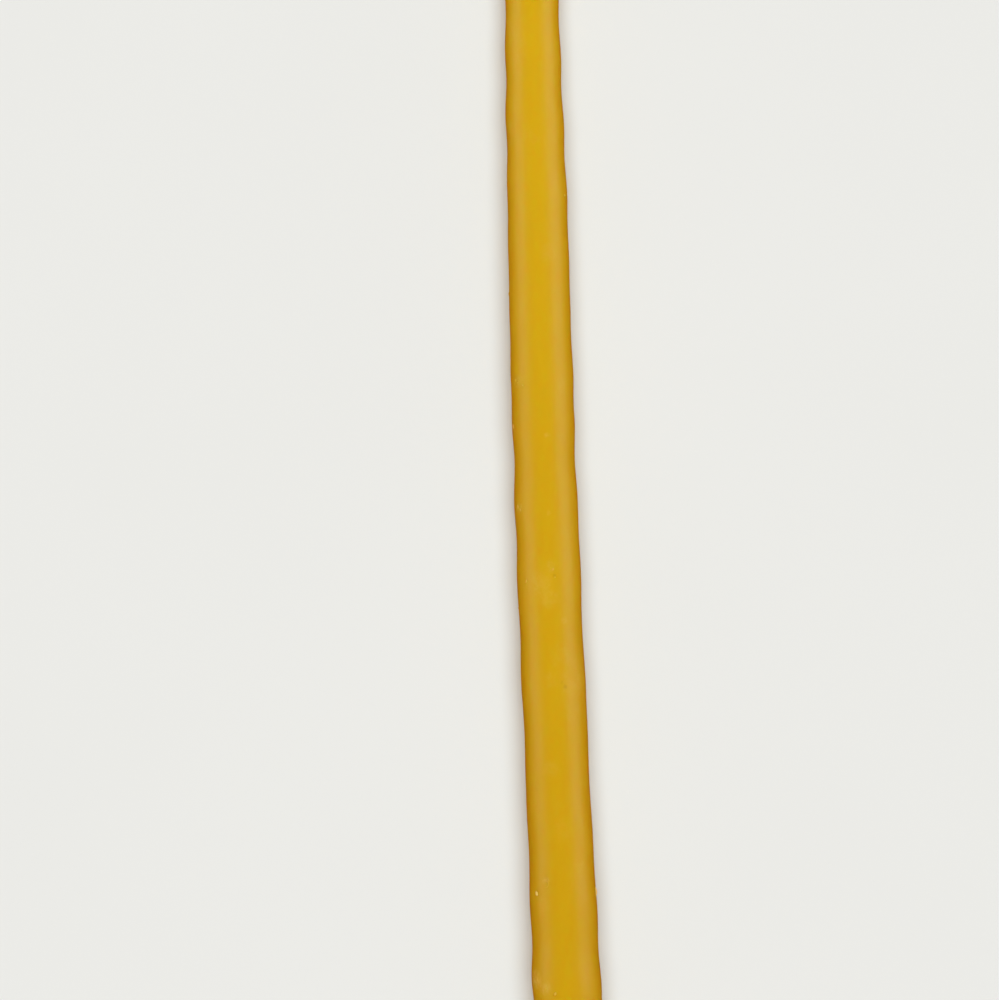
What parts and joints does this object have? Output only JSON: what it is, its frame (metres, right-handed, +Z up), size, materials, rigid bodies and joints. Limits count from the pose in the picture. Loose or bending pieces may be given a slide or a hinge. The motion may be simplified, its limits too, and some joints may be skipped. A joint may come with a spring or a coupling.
{
  "type": "taper candle",
  "caption": "Slim hand-dipped taper candle of golden wax, slightly bowed, with a braided wick and a straight butt for a holder.",
  "frame": {"origin": "on the surface that the candle lies on, under the middle of its box", "axes": "+X from the foot to the wick, along the straight butt; +Z up; the candle bows toward -Y"},
  "size_m": [0.294, 0.0152, 0.0092],
  "materials": {
    "wax": "satin wax",
    "wick": "waxed cotton braid"
  },
  "bodies": {
    "root": {"wax_body": "wax", "wick": "wick"}
  },
  "joints": []
}
